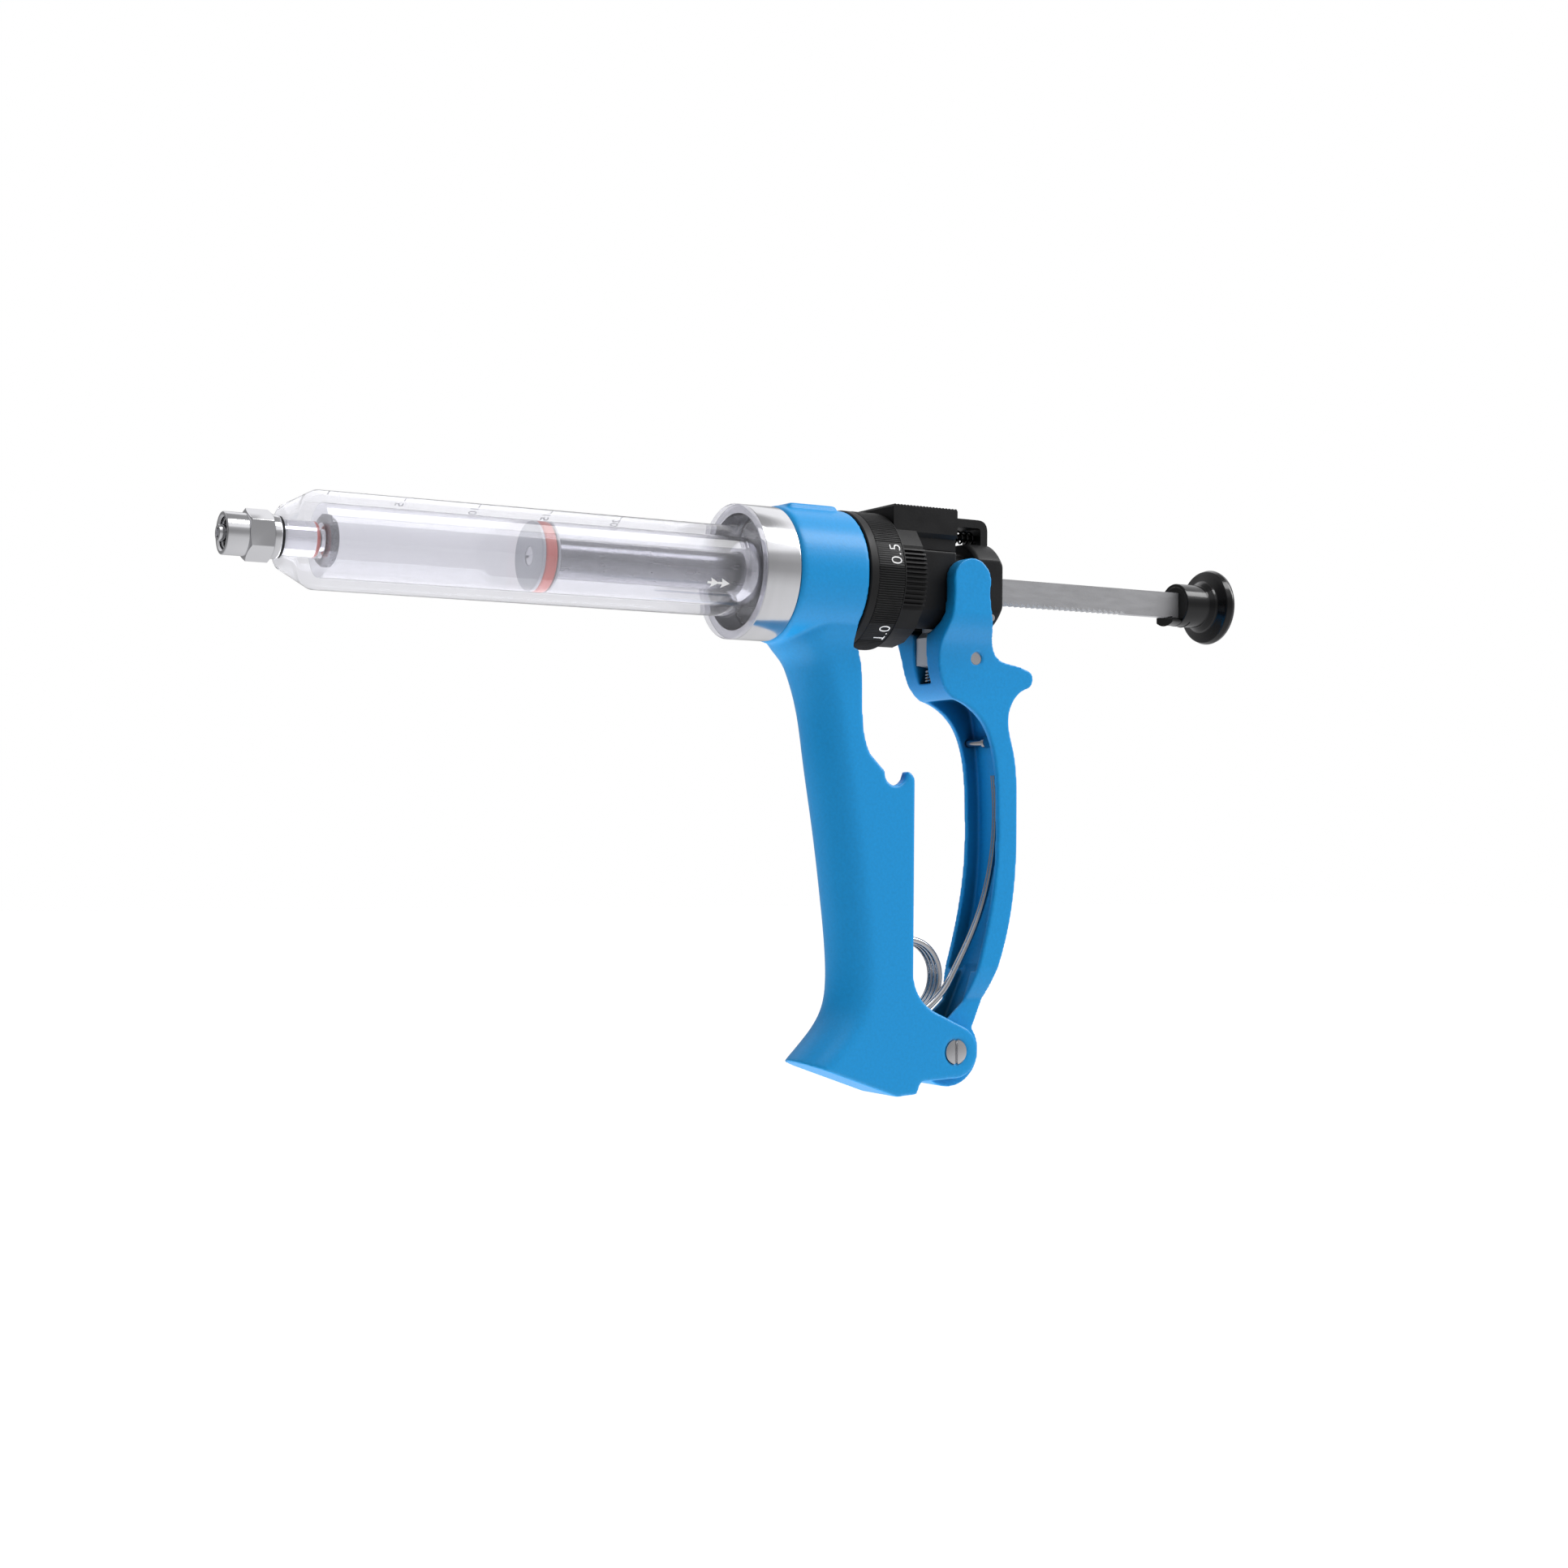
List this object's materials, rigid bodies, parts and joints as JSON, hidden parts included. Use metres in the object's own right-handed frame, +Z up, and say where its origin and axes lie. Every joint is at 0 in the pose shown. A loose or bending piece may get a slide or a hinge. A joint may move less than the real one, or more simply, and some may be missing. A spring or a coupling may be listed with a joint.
{
  "type": "repeating syringe",
  "caption": "Pistol-grip repeating syringe with a clear barrel, Luer-lock nozzle, squeeze lever, dose dial and toothed plunger rod.",
  "frame": {"origin": "centre of the tip of the male Luer cone, on the barrel axis", "axes": "+X along the barrel from the nozzle to the thumb knob, +Z up away from the handle, Y across the width"},
  "size_m": [0.3022, 0.0374, 0.1599],
  "materials": {
    "clear_plastic": "clear moulded plastic",
    "nickel": "nickel plated brass, polished",
    "black_rubber": "matt rubber",
    "red_rubber": "silicone rubber",
    "blue_plastic": "injection moulded nylon, satin",
    "black_plastic": "injection moulded, satin",
    "black_gloss": "polished",
    "grey_plastic": "satin",
    "rod_metal": "satin turned",
    "rack_steel": "matt",
    "steel": "bright",
    "spring_steel": "bright drawn wire"
  },
  "bodies": {
    "root": {"barrel": "clear_plastic", "barrel_ring": "nickel", "barrel_gasket": "black_rubber", "rod_guide": "nickel", "luer_fitting": "nickel", "nozzle_seal": "black_rubber", "nozzle_o_ring": "red_rubber", "nozzle_nut": "nickel", "grip_housing": "blue_plastic", "housing_screws": "steel", "detent_ball": "steel", "detent_spring": "spring_steel", "mechanism_housing": "black_plastic", "stop_collar": "black_plastic", "guard_bracket": "black_plastic", "release_spring": "spring_steel", "check_pawl_pin": "steel", "check_spring": "spring_steel", "pivot_screw": "steel", "pivot_nut": "steel", "return_spring": "spring_steel"},
    "lever": {"lever": "blue_plastic", "pawl_pin": "steel", "spring_stud": "steel", "pawl_spring": "spring_steel"},
    "feed_pawl": {"feed_pawl": "steel"},
    "plunger": {"piston_front": "grey_plastic", "piston_o_ring": "red_rubber", "piston_back": "grey_plastic", "piston_screw": "steel", "piston_rod": "rod_metal", "rod_pin": "steel", "rack": "rack_steel", "knob": "black_gloss", "knob_pin": "steel"},
    "dose_ring": {"dose_ring": "black_plastic", "dose_cam": "black_plastic"},
    "release_slide": {"release_slide": "black_plastic"},
    "check_pawl": {"check_pawl": "steel"}
  },
  "joints": [
    {"name": "lever_pivot", "type": "hinge", "parent": "root", "child": "lever", "pos_m": [0.2036, 0, -0.1281], "axis": [0, -1, 0], "range_deg": [0, 4.3], "stiffness_Nm_per_rad": 2, "springref_deg": -5.73, "deforming": ["return_spring"]},
    {"name": "feed_pawl_pivot", "type": "hinge", "parent": "lever", "child": "feed_pawl", "pos_m": [0.2093, 0, -0.0201], "axis": [0, -1, 0], "range_deg": [0, 6], "stiffness_Nm_per_rad": 0.02, "springref_deg": -11.46, "deforming": ["pawl_spring"]},
    {"name": "plunger_slide", "type": "slide", "parent": "root", "child": "plunger", "axis": [-1, 0, 0], "range_m": [-0.04716, 0.04912]},
    {"name": "dose_ring_turn", "type": "hinge", "parent": "root", "child": "dose_ring", "pos_m": [0.1744, 0, 0], "axis": [-1, 0, 0], "range_deg": [0, 288]},
    {"name": "release_slide_travel", "type": "slide", "parent": "root", "child": "release_slide", "axis": [1, 0, 0], "range_m": [0, 0.003], "stiffness_N_per_m": 400, "springref_m": -0.004, "deforming": ["release_spring"]},
    {"name": "check_pawl_pivot", "type": "hinge", "parent": "root", "child": "check_pawl", "pos_m": [0.2138, 0, -0.0087], "axis": [0, -1, 0], "range_deg": [0, 6], "stiffness_Nm_per_rad": 0.01, "springref_deg": -11.46, "deforming": ["check_spring"]}
  ]
}
